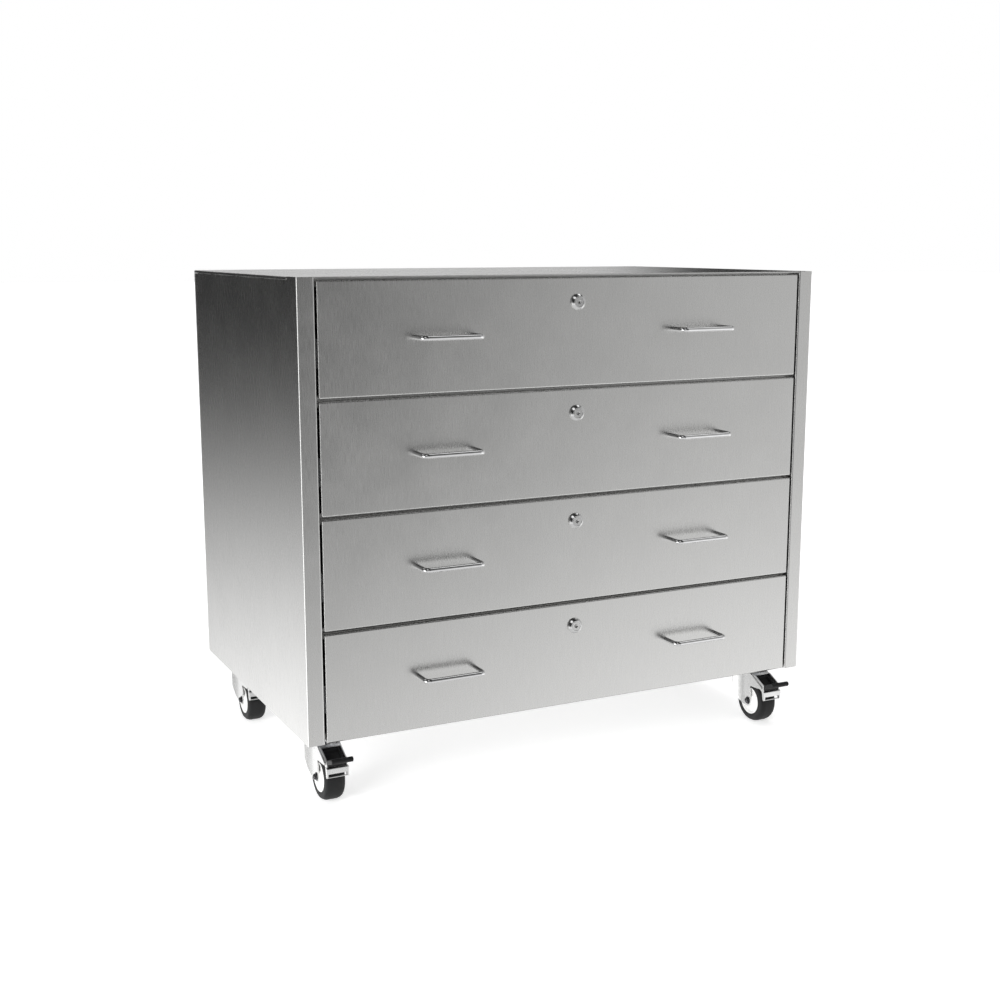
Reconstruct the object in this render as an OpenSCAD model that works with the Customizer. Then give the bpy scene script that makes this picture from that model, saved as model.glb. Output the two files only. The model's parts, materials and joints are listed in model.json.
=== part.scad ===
// Rolling tool chest: a folded sheet cabinet with full-width drawers on
// telescopic slides, a cam lock in each drawer, and four braked swivel casters.
// Millimetres. +Z up, the drawers open towards -Y, origin on the floor under
// the middle of the whole chest.

/* [Body] */
// Width across the side panels
body_w = 960; // [900:10:1100]
// Depth from the drawer fronts to the back
body_d = 600; // [590:10:700]
// Height of the body, without the casters
body_h = 733; // [720:1:860]
// Thickness of the cabinet sheet
sheet = 1.5; // [1.2:0.1:2]
// Thickness of the top sheet
top_sheet = 2; // [1.5:0.1:3]
// Width of a front post
post_w = 28; // [26:1:34]
// Depth of a post's inner return
post_return = 36; // [30:1:36]
// Height of the folded lip on the top and back panels
lip_h = 5; // [4:0.5:8]
// Distance from the front to where the top lip starts
lip_start = 47; // [40:1:60]

/* [Drawers] */
// Number of drawers
drawer_count = 4; // [3:1:4]
// Gap between two drawer fronts
front_gap = 4.3; // [3:0.1:6]
// Gap between a drawer front and a post
side_gap = 3.5; // [2.5:0.1:5]
// Gap between the top drawer front and the top sheet
top_gap = 3.1; // [2.5:0.1:5]
// Height of the lowest front above the body's bottom edge
front_rise = 1; // [0.5:0.1:3]
// Depth of a drawer front's folded edges
tray_d = 14; // [12:1:15]
// Height of a drawer box above its floor
box_h = 109; // [80:1:115]
// Height of a box floor above the bottom of its front
box_rise = 15; // [14.5:0.5:20]
// Drawer box sheet thickness
box_sheet = 1.2; // [1:0.1:1.5]

/* [Slides] */
// Length of a slide
slide_len = 550; // [450:10:550]
// Height of a slide
slide_h = 45; // [42:1:48]
// Width that a slide fills beside the drawer box
slide_w = 12.7; // [12.5:0.1:13]
// Height of a slide's middle above the bottom of its front
slide_rise = 68; // [60:1:80]

/* [Pulls] */
// Distance between the legs of a pull
pull_span = 102; // [96:1:128]
// Distance from a drawer front to the middle of a pull's rod
pull_out = 33; // [28:1:36]
// Rod diameter
pull_rod = 8; // [7:0.5:10]
// Bend radius at the rod's middle
pull_bend = 7; // [6:0.5:10]
// Distance of a pull's middle from the middle of the front
pull_x = 238; // [200:1:280]

/* [Locks] */
// Distance of the lock below the top of its front
lock_drop = 40; // [38:1:41]
// Diameter of the lock's bezel
bezel_d = 26; // [24:1:30]
// How far the bezel stands out
bezel_out = 6; // [5:0.5:8]
// Reach of the cam from the lock's axis
cam_reach = 38; // [36:1:39]

/* [Casters] */
// Height of the body's bottom edge above the floor
body_z = 112; // [110:1:120]
// Wheel diameter
wheel_d = 80; // [76:1:80]
// Wheel width
wheel_w = 34; // [30:1:34]
// Hub diameter
hub_d = 52; // [48:1:54]
// Horizontal offset from the swivel axis to the axle
trail = 31; // [28:1:34]
// Distance of a swivel axis from the side of the body
swivel_in_x = 50; // [48:1:70]
// Distance of a swivel axis from the front or back of the body
swivel_in_y = 84; // [80:1:100]

/* [Hidden] */
$fn = 48;
eps = 0.01;

CASTERS = ["fl", "fr", "rl", "rr"];
ROOT_NODES = [
    "side_panel_left", "side_panel_right", "top_panel", "back_panel", "base_panel",
    "cross_rails", "slide_uprights", "slide_cabinet_members", "base_bars",
    "caster_top_plates", "caster_kingpins", "caster_bolts"
];
DRAWER_NODES = [
    "drawer_front_", "drawer_box_", "pulls_", "slide_inner_members_",
    "slide_middle_members_", "lock_housing_", "lock_plug_"
];
CASTER_NODES = ["caster_fork_", "axle_", "wheel_hub_", "tyre_", "brake_pedal_"];

// Overall places
half_w = body_w / 2;
pull_reach = pull_out + pull_rod / 2;
front_y = (pull_reach - body_d) / 2;
back_y = front_y + body_d;
top_z = body_z + body_h;
seam = 0.8;
lap = 14;

// Drawer fronts, counted from the top
front_w = body_w - 2 * (post_w + side_gap);
front_h = (body_h - top_sheet - top_gap - front_rise - (drawer_count - 1) * front_gap) / drawer_count;
function front_z(i) = body_z + front_rise + (drawer_count - i) * (front_h + front_gap);
tray_lip = 8;

// Drawer boxes and slides
opening_half = half_w - post_w;
box_half = opening_half - slide_w;
box_y = front_y + tray_d;
slide_y = front_y + tray_d + 2;
box_len = slide_len + 2;
hem_w = 2.6;
hem_h = 8;
weld_gap = 0.05;

// Rails behind the gaps between the fronts
rail_y = front_y + tray_d + 1.5;
rail_d = 29.5;
rail_drop = 12;
rail_up = 6;

// Uprights at the back ends of the slides, between the rear casters' bolts
upright_in_y = 99;
upright_w = 32;

// Bars under the nuts of the caster bolts
bar_w = 19;
bar_in_x = 14;

// Lock sizes
barrel_r = 9.5;
barrel_len = 17.5;
plug_face_r = 7.92;
plug_face_bore_r = 8;
face_rim = 1.3;
plug_r = 6.92;
plug_bore_r = 7;
face_depth = 2.2;
cam_y = 18.6;
cam_t = 2;
cam_w = 14;
thread_gap = 0.05;

// Caster sizes, measured in a frame with its origin on the floor under the swivel axis
plate_t = 3;
plate_top = body_z + sheet;
plate_x = 65;
plate_y = 95;
bolt_dx = 45;
bolt_dy = 75;
bolt_r = 4;
wheel_r = wheel_d / 2;
axle_y = -trail;
axle_z = wheel_r;
crown_top = body_z - 14;
crown_t = 2.5;
leg_in = 18;
leg_out = 20;
back_r = 28;
leg_t = leg_out - leg_in;
pin_r = 5;
axle_r = 3;
brake_y = -24;
brake_z = body_z - 24;
brake_pin_r = 2.5;

function caster_side(c) = c == "fl" || c == "rl" ? -1 : 1;
function caster_row(c) = c == "fl" || c == "fr" ? front_y + swivel_in_y : back_y - swivel_in_y;

// Points on an arc about [cx, cy], from angle a to angle b in n steps
function arc(cx, cy, r, a, b, n) = [
    for (k = [0 : n]) [cx + r * cos(a + (b - a) * k / n), cy + r * sin(a + (b - a) * k / n)]
];

// A box given by two opposite corners
module block(lo, hi) {
    translate(lo) cube(hi - lo);
}

// A cylinder along X, Y or Z that starts at a point
module rod_x(p, r, len) {
    translate(p) rotate([0, 90, 0]) cylinder(r = r, h = len);
}

module rod_y(p, r, len) {
    translate(p) rotate([-90, 0, 0]) cylinder(r = r, h = len);
}

module both_sides() {
    children();
    mirror([1, 0, 0]) children();
}

// ---- Cabinet ----

// The left side: outer skin with its front post, and edges set in under the lips
module side_panel() {
    color("silver") {
        // skin, full height at the front
        block([-half_w, front_y, body_z], [-half_w + sheet, front_y + lip_start - seam, top_z]);
        block([-half_w, front_y + lip_start - seam - eps, body_z],
            [-half_w + sheet, back_y - lip_h - seam, top_z - lip_h - seam]);
        // edge that runs under the top lip
        block([-half_w + sheet, front_y + lip_start, top_z - lap],
            [-half_w + 2 * sheet, back_y - 2 * sheet, top_z - top_sheet]);
        // edge that runs under the back lip
        block([-half_w + sheet, back_y - lap, body_z + sheet],
            [-half_w + 2 * sheet, back_y - sheet, top_z - lap + eps]);
        // front post
        block([-half_w, front_y, body_z], [-opening_half, front_y + sheet, top_z]);
        block([-opening_half - sheet, front_y, body_z],
            [-opening_half, front_y + post_return, top_z - top_sheet]);
        // bottom flange
        block([-half_w, front_y, body_z], [-half_w + lap, back_y - sheet, body_z + sheet]);
    }
}

module side_panel_left() {
    side_panel();
}

module side_panel_right() {
    mirror([1, 0, 0]) side_panel();
}

// The top sheet fits between the posts and laps the sides behind them
module top_panel() {
    color("gainsboro") {
        block([-opening_half + seam / 2, front_y, top_z - top_sheet],
            [opening_half - seam / 2, front_y + sheet + eps, top_z]);
        block([-half_w + sheet, front_y + sheet, top_z - top_sheet],
            [half_w - sheet, front_y + lip_start + eps, top_z]);
        block([-half_w, front_y + lip_start, top_z - top_sheet], [half_w, back_y, top_z]);
        both_sides() {
            block([-half_w, front_y + lip_start, top_z - lip_h],
                [-half_w + sheet, back_y, top_z]);
        }
        block([-half_w, back_y - sheet, top_z - lip_h], [half_w, back_y, top_z]);
    }
}

module back_panel() {
    color("silver") {
        block([-half_w, back_y - sheet, body_z], [half_w, back_y, top_z - lip_h - seam]);
        both_sides() {
            block([-half_w, back_y - lip_h, body_z + sheet],
                [-half_w + sheet, back_y, top_z - lip_h - seam]);
        }
        // upper edge, set in behind the top's lip
        block([-half_w + 3 * sheet, back_y - 2 * sheet, top_z - lap],
            [half_w - 3 * sheet, back_y - sheet, top_z - top_sheet]);
    }
}

module base_panel() {
    floor_z = body_z + sheet;
    front = rail_y + sheet;
    difference() {
        color("silver") {
            block([-half_w + sheet, front, floor_z], [half_w - sheet, back_y - sheet, floor_z + sheet]);
            block([-opening_half, front, floor_z], [opening_half, front + sheet, floor_z + 11]);
        }
        caster_bolt_places() cylinder(r = bolt_r + 0.5, h = plate_top + 20);
        // clearance around the post returns
        both_sides() {
            block([-half_w + sheet - 1, front - 1, floor_z - 1],
                [-opening_half + 0.2, front_y + post_return + 0.2, floor_z + 20]);
        }
        both_sides() {
            block([-half_w + sheet - 1, back_y - lap - 0.2, floor_z - 1],
                [-half_w + 2 * sheet + 0.2, back_y, floor_z + 20]);
        }
    }
}

// One rail behind the fronts; the cam of the lock below rises behind its front flange
module cross_rail(z_low, z_web) {
    block([-opening_half, rail_y, z_low], [opening_half, rail_y + sheet, z_web]);
    block([-opening_half, rail_y, z_web - sheet], [opening_half, rail_y + rail_d, z_web]);
    block([-opening_half, rail_y + rail_d - sheet, z_web - 10], [opening_half, rail_y + rail_d, z_web]);
}

module cross_rails() {
    color("silver") {
        cross_rail(top_z - top_sheet - 13, top_z - top_sheet);
        for (i = [2 : drawer_count]) {
            gap_z = front_z(i) + front_h + front_gap / 2;
            cross_rail(gap_z - rail_drop, gap_z + rail_up);
        }
    }
}

// Rear channels that carry the back ends of the slides
module slide_uprights() {
    z0 = body_z + 2 * sheet;
    z1 = top_z - lap - 4;
    y0 = back_y - upright_in_y;
    y1 = y0 + upright_w;
    color("silver") both_sides() {
        block([-opening_half - sheet, y0, z0], [-opening_half, y1, z1]);
        block([-half_w + sheet, y0, z0], [-opening_half, y0 + sheet, z1]);
        block([-half_w + sheet, y1 - sheet, z0], [-opening_half, y1, z1]);
    }
}

// Flat bars on the base that take the caster bolts
module base_bars() {
    z0 = body_z + 2 * sheet;
    x1 = half_w - bar_in_x;
    color("silver") difference() {
        for (y = [front_y + swivel_in_y, back_y - swivel_in_y]) {
            block([-x1, y - bolt_dy / 2 - bar_w / 2, z0], [x1, y - bolt_dy / 2 + bar_w / 2, z0 + 3]);
            block([-x1, y + bolt_dy / 2 - bar_w / 2, z0], [x1, y + bolt_dy / 2 + bar_w / 2, z0 + 3]);
        }
        caster_bolt_places() cylinder(r = bolt_r + 0.5, h = plate_top + 20);
    }
}

// ---- Slides ----

// A channel open towards one side: web at x0, lips reaching to x1
module channel(x0, x1, h, t, z) {
    y0 = slide_y;
    y1 = slide_y + slide_len;
    web = x1 > x0 ? [x0, x0 + t] : [x0 - t, x0];
    lip = x1 > x0 ? [x0, x1] : [x1, x0];
    block([web[0], y0, z - h / 2], [web[1], y1, z + h / 2]);
    block([lip[0], y0, z - h / 2], [lip[1], y1, z - h / 2 + t]);
    block([lip[0], y0, z + h / 2 - t], [lip[1], y1, z + h / 2]);
}

module slide_cabinet_members() {
    color("lightsteelblue") both_sides() for (i = [1 : drawer_count]) {
        channel(-opening_half, -opening_half + 9.2, slide_h, 1.2, front_z(i) + slide_rise);
    }
}

module slide_middle_members(i) {
    x0 = -opening_half + 2.2;
    color("lightsteelblue") both_sides() {
        channel(x0, x0 + 8, slide_h - 7.6, 1.2, front_z(i) + slide_rise);
    }
}

module slide_inner_members(i) {
    color("lightsteelblue") both_sides() {
        channel(-box_half, -box_half - 7, slide_h - 16.5, 1.2, front_z(i) + slide_rise);
    }
}

// ---- Drawers ----

// Outer face with folded edges on all four sides
module drawer_front(i) {
    z0 = front_z(i);
    z1 = z0 + front_h;
    half = front_w / 2;
    lock_z = z1 - lock_drop;
    color("silver") difference() {
        block([-half, front_y, z0], [half, front_y + tray_d, z1]);
        block([-half + sheet, front_y + sheet, z0 + sheet],
            [half - sheet, front_y + tray_d - sheet, z1 - sheet]);
        block([-half + tray_lip, front_y + sheet, z0 + tray_lip],
            [half - tray_lip, front_y + tray_d + 1, z1 - tray_lip]);
        rod_y([0, front_y - 1, lock_z], barrel_r + 0.1, sheet + 2);
        for (x = pull_leg_places()) rod_y([x, front_y - 1, z0 + front_h / 2], 2.25, sheet + 2);
    }
}

// Floor, front and back walls and two side walls, welded; three walls have a folded hem
module drawer_box(i) {
    z0 = front_z(i) + box_rise;
    z1 = z0 + box_h;
    y1 = box_y + box_len;
    wall_z = z0 + box_sheet + weld_gap;
    side_y0 = box_y + box_sheet + weld_gap;
    color("gainsboro") {
        block([-box_half, box_y, z0], [box_half, y1, z0 + box_sheet]);
        block([-box_half, box_y, wall_z], [box_half, box_y + box_sheet, z1]);
        both_sides() {
            block([-box_half, side_y0, wall_z], [-box_half + box_sheet, y1, z1]);
            block([-box_half, side_y0, z1 - hem_h], [-box_half + hem_w, y1, z1]);
        }
        back_half = box_half - hem_w - weld_gap;
        block([-back_half, y1 - box_sheet, wall_z], [back_half, y1, z1]);
        block([-back_half, y1 - hem_w, z1 - hem_h], [back_half, y1, z1]);
    }
}

function pull_leg_places() = [for (s = [-1, 1], t = [-1, 1]) s * pull_x + t * pull_span / 2];

// A U-shaped rod handle, with its two screws behind the sheet
module pull(x, z) {
    leg = pull_out - pull_bend;
    r = pull_rod / 2;
    for (s = [-1, 1]) {
        leg_x = x + s * pull_span / 2;
        difference() {
            union() {
                rod_y([leg_x, front_y - leg, z], r, leg);
                translate([leg_x - s * pull_bend, front_y - leg, z]) {
                    mirror([s < 0 ? 1 : 0, 0, 0]) {
                        rotate([0, 0, -90]) rotate_extrude(angle = 90) translate([pull_bend, 0]) circle(r = r);
                    }
                }
            }
            rod_y([leg_x, front_y - 12, z], 2, 13);
        }
        rod_y([leg_x, front_y - 10, z], 1.95, 10 + sheet);
        rod_y([leg_x, front_y + sheet, z], 4.5, 2.4);
    }
    rod_x([x - pull_span / 2 + pull_bend, front_y - pull_out, z], r, pull_span - 2 * pull_bend);
}

module pulls(i) {
    color("whitesmoke") for (s = [-1, 1]) pull(s * pull_x, front_z(i) + front_h / 2);
}

// ---- Locks ----

// Bezel and barrel of the lock, with the nut that clamps it to the front
module lock_housing(i) {
    z = front_z(i) + front_h - lock_drop;
    bezel_r = bezel_d / 2;
    rim_r = plug_face_bore_r + face_rim;
    skirt = bezel_out - 3.1;
    color("lightgray") {
        translate([0, front_y, z]) rotate([90, 0, 0]) difference() {
            rotate_extrude() polygon([
                [0, -barrel_len], [barrel_r, -barrel_len], [barrel_r, 0], [bezel_r, 0], [bezel_r, skirt],
                [bezel_r - 0.3, skirt + 0.4], [rim_r + 0.3, bezel_out - 0.2], [rim_r, bezel_out], [0, bezel_out]
            ]);
            translate([0, 0, bezel_out - face_depth]) cylinder(r = plug_face_bore_r, h = face_depth + 1);
            translate([0, 0, -barrel_len - 1]) cylinder(r = plug_bore_r, h = barrel_len + bezel_out);
        }
        translate([0, front_y + sheet, z]) rotate([-90, 0, 0]) difference() {
            cylinder(r = 15, h = 4, $fn = 6);
            translate([0, 0, -1]) cylinder(r = barrel_r + thread_gap, h = 6);
        }
    }
}

// Keyed plug with its cam and screw; the cam lies level when the lock is open
module lock_plug(i) {
    z = front_z(i) + front_h - lock_drop;
    cam_tip = cam_reach - cam_w / 2;
    color("gray") translate([0, front_y, z]) {
        difference() {
            union() {
                rod_y([0, -bezel_out, 0], plug_face_r, face_depth - 0.2);
                rod_y([0, -bezel_out + 1, 0], plug_r, cam_y + bezel_out - 1);
            }
            block([-0.9, -bezel_out - 1, -4.5], [0.9, -bezel_out + 8, 4.5]);
        }
        difference() {
            union() {
                block([0, cam_y + thread_gap, -cam_w / 2], [cam_tip, cam_y + cam_t, cam_w / 2]);
                rod_y([0, cam_y + thread_gap, 0], cam_w / 2 + 1, cam_t - thread_gap);
                rod_y([cam_tip, cam_y + thread_gap, 0], cam_w / 2, cam_t - thread_gap);
            }
            rod_y([0, cam_y - 1, 0], 2.5 + thread_gap, cam_t + 2);
        }
        rod_y([0, cam_y, 0], 2.5, cam_t + 1);
        rod_y([0, cam_y + cam_t + thread_gap, 0], 5.5, 2.5);
    }
}

// ---- Casters ----

// Places its children at one caster, or at the bolts of all four
module at_caster(c) {
    translate([caster_side(c) * (half_w - swivel_in_x), caster_row(c), 0]) children();
}

module caster_bolt_places() {
    for (c = CASTERS) at_caster(c) {
        for (x = [-1, 1], y = [-1, 1]) translate([x * bolt_dx / 2, y * bolt_dy / 2, 0]) children();
    }
}

module caster_top_plates() {
    color("lightgray") difference() {
        for (c = CASTERS) at_caster(c) {
            translate([-plate_x / 2, -plate_y / 2, plate_top - plate_t]) cube([plate_x, plate_y, plate_t]);
            // raceway cup
            translate([0, 0, crown_top + 0.5]) difference() {
                cylinder(r = 24, h = plate_top - plate_t - crown_top - 0.5);
                translate([0, 0, -1]) cylinder(r = 21, h = 8);
            }
        }
        for (c = CASTERS) at_caster(c) cylinder(r = pin_r + 0.02, h = plate_top + 1);
        caster_bolt_places() cylinder(r = bolt_r + 0.5, h = plate_top + 1);
    }
}

// Rivets that hold the forks under the plates
module caster_kingpins() {
    color("gray") for (c = CASTERS) at_caster(c) {
        translate([0, 0, crown_top - crown_t - 3.5]) cylinder(r = 10, h = 3.2);
        translate([0, 0, crown_top - crown_t - 0.4]) cylinder(r = pin_r, h = plate_top - crown_top + crown_t + 0.3);
    }
}

module caster_bolts() {
    head_z = plate_top - plate_t - 5.3;
    nut_z = body_z + 2 * sheet + 3;
    color("gray") caster_bolt_places() {
        translate([0, 0, head_z]) cylinder(r = 7.2, h = 5.3, $fn = 6);
        translate([0, 0, head_z + 5]) cylinder(r = bolt_r, h = nut_z + 7.5 - head_z - 5);
        translate([0, 0, nut_z]) difference() {
            cylinder(r = 7.2, h = 6.4, $fn = 6);
            translate([0, 0, -1]) cylinder(r = bolt_r - 0.05, h = 9);
        }
    }
}

// Half-open plan of the fork: straight legs, flaring into a round back
module fork_plan(half, r) {
    flare = 20;
    polygon(concat(
        [[half, -70], [half, -10]],
        arc(0, 0, r, flare, 180 - flare, 14),
        [[-half, -10], [-half, -70]]
    ));
}

// Side view of the fork; first axis towards the back, second axis up
module fork_side() {
    polygon(concat(
        [
            [back_r + 1, crown_top],
            [axle_y + 13.6, crown_top],
            [axle_y - 3, crown_top - 2.5],
            [axle_y - 41, axle_z + 35.5],
            [axle_y - 42, axle_z + 32.5],
            [axle_y - 6, axle_z + 30]
        ],
        arc(axle_y + 3.5, axle_z - 1.5, 9.5, 180, 285, 6),
        [
            [axle_y + 16, axle_z - 10.5],
            [axle_y + 25, axle_z - 5.5],
            [axle_y + 31, axle_z + 1],
            [axle_y + 36, axle_z + 9],
            [axle_y + 40, axle_z + 17],
            [axle_y + 48, axle_z + 27],
            [back_r + 1, axle_z + 34]
        ]
    ));
}

module caster_fork(c) {
    color("whitesmoke") at_caster(c) difference() {
        intersection() {
            translate([-40, 0, 0]) rotate([90, 0, 90]) linear_extrude(80) fork_side();
            union() {
                linear_extrude(crown_top) difference() {
                    fork_plan(leg_out, back_r);
                    translate([0, -1]) fork_plan(leg_in, back_r - leg_t);
                }
                translate([0, 0, crown_top - crown_t]) linear_extrude(crown_t) fork_plan(leg_out, back_r);
            }
        }
        cylinder(r = pin_r + 0.08, h = crown_top + 1);
        rod_x([-40, axle_y, axle_z], axle_r + 0.05, 80);
        rod_x([-40, brake_y, brake_z], brake_pin_r + 0.05, 80);
    }
}

module axle(c) {
    head = 6.5;
    color("dimgray") at_caster(c) {
        rod_x([-leg_out - 1, axle_y, axle_z], axle_r, 2 * leg_out + 2);
        both_sides() translate([leg_out, axle_y, axle_z]) rotate([0, 90, 0]) {
            rotate_extrude() polygon(concat([[0, 0], [5.2, 0], [5.2, 3]], arc(0, 3, 5.2, 10, 42, 2), [[0, head]]));
        }
    }
}

module wheel_hub(c) {
    hub_r = hub_d / 2;
    half = wheel_w / 2;
    color("white") at_caster(c) translate([0, axle_y, axle_z]) rotate([0, 90, 0]) difference() {
        rotate_extrude() polygon([
            [0, -half - 0.6], [8, -half - 0.6], [9, -half + 1], [hub_r - 3, -half + 1], [hub_r - 2, -half + 0.3],
            [hub_r, -half + 0.3], [hub_r, half - 0.3], [hub_r - 2, half - 0.3], [hub_r - 3, half - 1],
            [9, half - 1], [8, half + 0.6], [0, half + 0.6]
        ]);
        translate([0, 0, -half - 2]) cylinder(r = axle_r + 0.08, h = wheel_w + 4);
    }
}

module tyre(c) {
    half = wheel_w / 2;
    inner = hub_d / 2 + 0.05;
    shoulder = 8;
    side = 5;
    color("dimgray") at_caster(c) translate([0, axle_y, axle_z]) rotate([0, 90, 0]) {
        rotate_extrude() polygon(concat(
            [[inner, -half + 1], [inner + 1.5, -half]],
            [for (a = [0 : 18 : 90]) [wheel_r - side + side * sin(a), -half + shoulder * (1 - cos(a))]],
            [for (a = [90 : -18 : 0]) [wheel_r - side + side * sin(a), half - shoulder * (1 - cos(a))]],
            [[inner + 1.5, half], [inner, half - 1]]
        ));
    }
}

// Rocking brake: steel bracket with a slotted stirrup in front of the wheel, and a moulded
// tread whose toe reaches out and up past the stirrup
module brake_pedal(c) {
    cheek_out = leg_in - 0.5;
    cheek_t = 1.5;
    stirrup_y = -swivel_in_y + 5;
    stirrup_half = 18.5;
    band_top = body_z - 43;
    band_low = body_z - 60;
    slot_half = stirrup_half - 1.2;
    tread_half = cheek_out - cheek_t - 0.1;
    toe_half = 18.4;
    toe_root = stirrup_y + 2;
    toe_y = stirrup_y - 20.6;
    toe_z = brake_z - 0.5;
    toe_r = 4.3;
    at_caster(c) {
        color("whitesmoke") {
            both_sides() difference() {
                translate([cheek_out - cheek_t, 0, 0]) rotate([90, 0, 90]) linear_extrude(cheek_t) polygon([
                    [brake_y + 4, brake_z + 5], [brake_y - 23, brake_z + 5.5], [stirrup_y + 4, brake_z - 7.8],
                    [stirrup_y + 4, band_top], [stirrup_y, band_top - 2], [stirrup_y, band_low],
                    [stirrup_y + 4, band_low], [stirrup_y + 9, band_top - 2], [stirrup_y + 22, band_top + 8],
                    [brake_y - 14, brake_z - 5], [brake_y + 4, brake_z - 5]
                ]);
                rod_x([0, brake_y, brake_z], brake_pin_r, 40);
            }
            rod_x([-leg_out, brake_y, brake_z], brake_pin_r, 2 * leg_out);
            // bridge between the cheeks
            block([-cheek_out + eps, brake_y - 23, brake_z + 4], [cheek_out - eps, brake_y - 11, brake_z + 5.5]);
            difference() {
                block([-stirrup_half, stirrup_y, band_low], [stirrup_half, stirrup_y + 1.5, band_top]);
                block([-slot_half, stirrup_y - 1, band_low + 1.5], [slot_half, stirrup_y + 2, band_low + 6]);
            }
            block([-stirrup_half, stirrup_y, band_low], [stirrup_half, stirrup_y + 4, band_low + 1.5]);
            block([-stirrup_half, stirrup_y, band_top - 1.5], [stirrup_half, stirrup_y + 8, band_top]);
        }
        color("black") {
            translate([-tread_half, 0, 0]) rotate([90, 0, 90]) linear_extrude(2 * tread_half) polygon([
                [brake_y - 16, brake_z + 2], [brake_y - 22, brake_z + 2.5], [brake_y - 36, brake_z - 6.5],
                [brake_y - 44, brake_z - 9.5], [toe_root - 0.5, brake_z - 8.5],
                [toe_root - 0.5, brake_z - 17.5], [toe_root + 7, brake_z - 17.5], [brake_y - 16, brake_z - 4]
            ]);
            // toe, thick and round at its tip
            translate([-toe_half, 0, 0]) rotate([90, 0, 90]) linear_extrude(2 * toe_half) polygon(concat(
                [[toe_root, brake_z - 14], [toe_root, brake_z - 5.2]],
                arc(toe_y, toe_z, toe_r, 70, 250, 10)
            ));
        }
    }
}

// ---- Drawing ----

side_panel_left();
side_panel_right();
top_panel();
back_panel();
base_panel();
cross_rails();
slide_uprights();
slide_cabinet_members();
base_bars();
caster_top_plates();
caster_kingpins();
caster_bolts();
for (i = [1 : drawer_count]) {
    drawer_front(i);
    drawer_box(i);
    pulls(i);
    slide_inner_members(i);
    slide_middle_members(i);
    lock_housing(i);
    lock_plug(i);
}
for (c = CASTERS) {
    caster_fork(c);
    axle(c);
    wheel_hub(c);
    tyre(c);
    brake_pedal(c);
}
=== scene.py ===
import json
import math

import bmesh
import bpy
from mathutils import Matrix, Vector

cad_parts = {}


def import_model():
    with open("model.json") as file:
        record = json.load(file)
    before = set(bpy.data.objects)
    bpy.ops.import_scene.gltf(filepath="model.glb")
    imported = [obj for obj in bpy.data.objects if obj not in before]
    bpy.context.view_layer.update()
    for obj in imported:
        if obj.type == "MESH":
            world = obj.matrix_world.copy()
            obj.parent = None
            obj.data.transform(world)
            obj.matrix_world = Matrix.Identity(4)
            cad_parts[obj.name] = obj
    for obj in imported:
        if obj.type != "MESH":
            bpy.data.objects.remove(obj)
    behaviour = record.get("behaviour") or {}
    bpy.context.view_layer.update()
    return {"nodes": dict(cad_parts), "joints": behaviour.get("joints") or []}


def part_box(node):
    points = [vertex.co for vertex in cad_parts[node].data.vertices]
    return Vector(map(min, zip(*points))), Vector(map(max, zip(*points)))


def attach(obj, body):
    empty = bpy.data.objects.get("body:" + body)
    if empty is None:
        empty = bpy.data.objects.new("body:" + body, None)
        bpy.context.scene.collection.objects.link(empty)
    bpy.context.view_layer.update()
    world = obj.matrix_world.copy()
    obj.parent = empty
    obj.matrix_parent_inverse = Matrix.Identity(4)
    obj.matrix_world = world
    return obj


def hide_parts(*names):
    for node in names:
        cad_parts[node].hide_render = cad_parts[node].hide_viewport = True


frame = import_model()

# Looks of the rolling tool chest: folded sheet with real bends, chromed pulls and
# locks, plated casters, procedural materials, a pale floor and soft studio light.
# Lengths are metres in the part's frame, and MM turns millimetres into metres. Outlines of
# the locks and casters are in millimetres, which turned_y, mm_lathe and side_prism convert.

MM = 0.001
JOINTS = {joint["name"]: joint for joint in frame["joints"]}
DRAWERS = (1, 2, 3, 4)
CASTERS = ("fl", "fr", "rl", "rr")

# Overall places, read from the CAD nodes
SIDE_LOW, SIDE_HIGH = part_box("side_panel_left")
HALF_W = -SIDE_LOW.x
POST_EDGE = -SIDE_HIGH.x
FRONT_Y = SIDE_LOW.y
BODY_Z = SIDE_LOW.z
TOP_Z = SIDE_HIGH.z
BACK_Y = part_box("back_panel")[1].y

# Sheet work
SHEET = 1.5 * MM
TOP_SHEET = 2 * MM
BEND = 2.5 * MM
LIP = 5 * MM
SEAM = 0.8 * MM
LIP_START = 47 * MM
POST_RETURN = 36 * MM
FLANGE = 14 * MM
FRONT_LIP = 8 * MM
SHEET_BEVEL = 0.25 * MM
BEND_STEPS, INNER_BEND_STEPS = 5, 3

# Pulls
PULL_SPAN = 102 * MM
PULL_OUT = 33 * MM
PULL_ROD = 8 * MM
PULL_BEND = 7 * MM
PULL_NECK = 2 * MM

# Locks, in millimetres: radii from the lock's axis, and depths behind the front's face,
# which are negative for what stands out of it
BEZEL_R, BEZEL_OUT = 13, 6
BARREL_R, BARREL_END = 9.5, 17.5
BORE_R, BORE_SEAT = 7, -3.8
MOUTH_R = 8
PLUG_HEAD_R, PLUG_SEAT, PLUG_R = 7.88, -4, 6.9
STUD_R, STUD_START, STUD_END = 2.45, 18.6, 21.6
LOCK_BREAK = 0.25
CAM_START, CAM_END = 18.65, 20.6
CAM_HUB_R, CAM_REACH, CAM_TIP_R = 8, 31, 7
KEY_HALF_WIDTH, KEY_HALF_HEIGHT, KEY_DEPTH = 0.7, 2.1, 4

# Casters, in millimetres from the floor under the swivel axis
AXLE_Y, AXLE_Z = -31, 40
PEDAL_PIVOT = (-24, 88)
PIVOT_R, PIVOT_HALF = 2.5, 20

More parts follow.
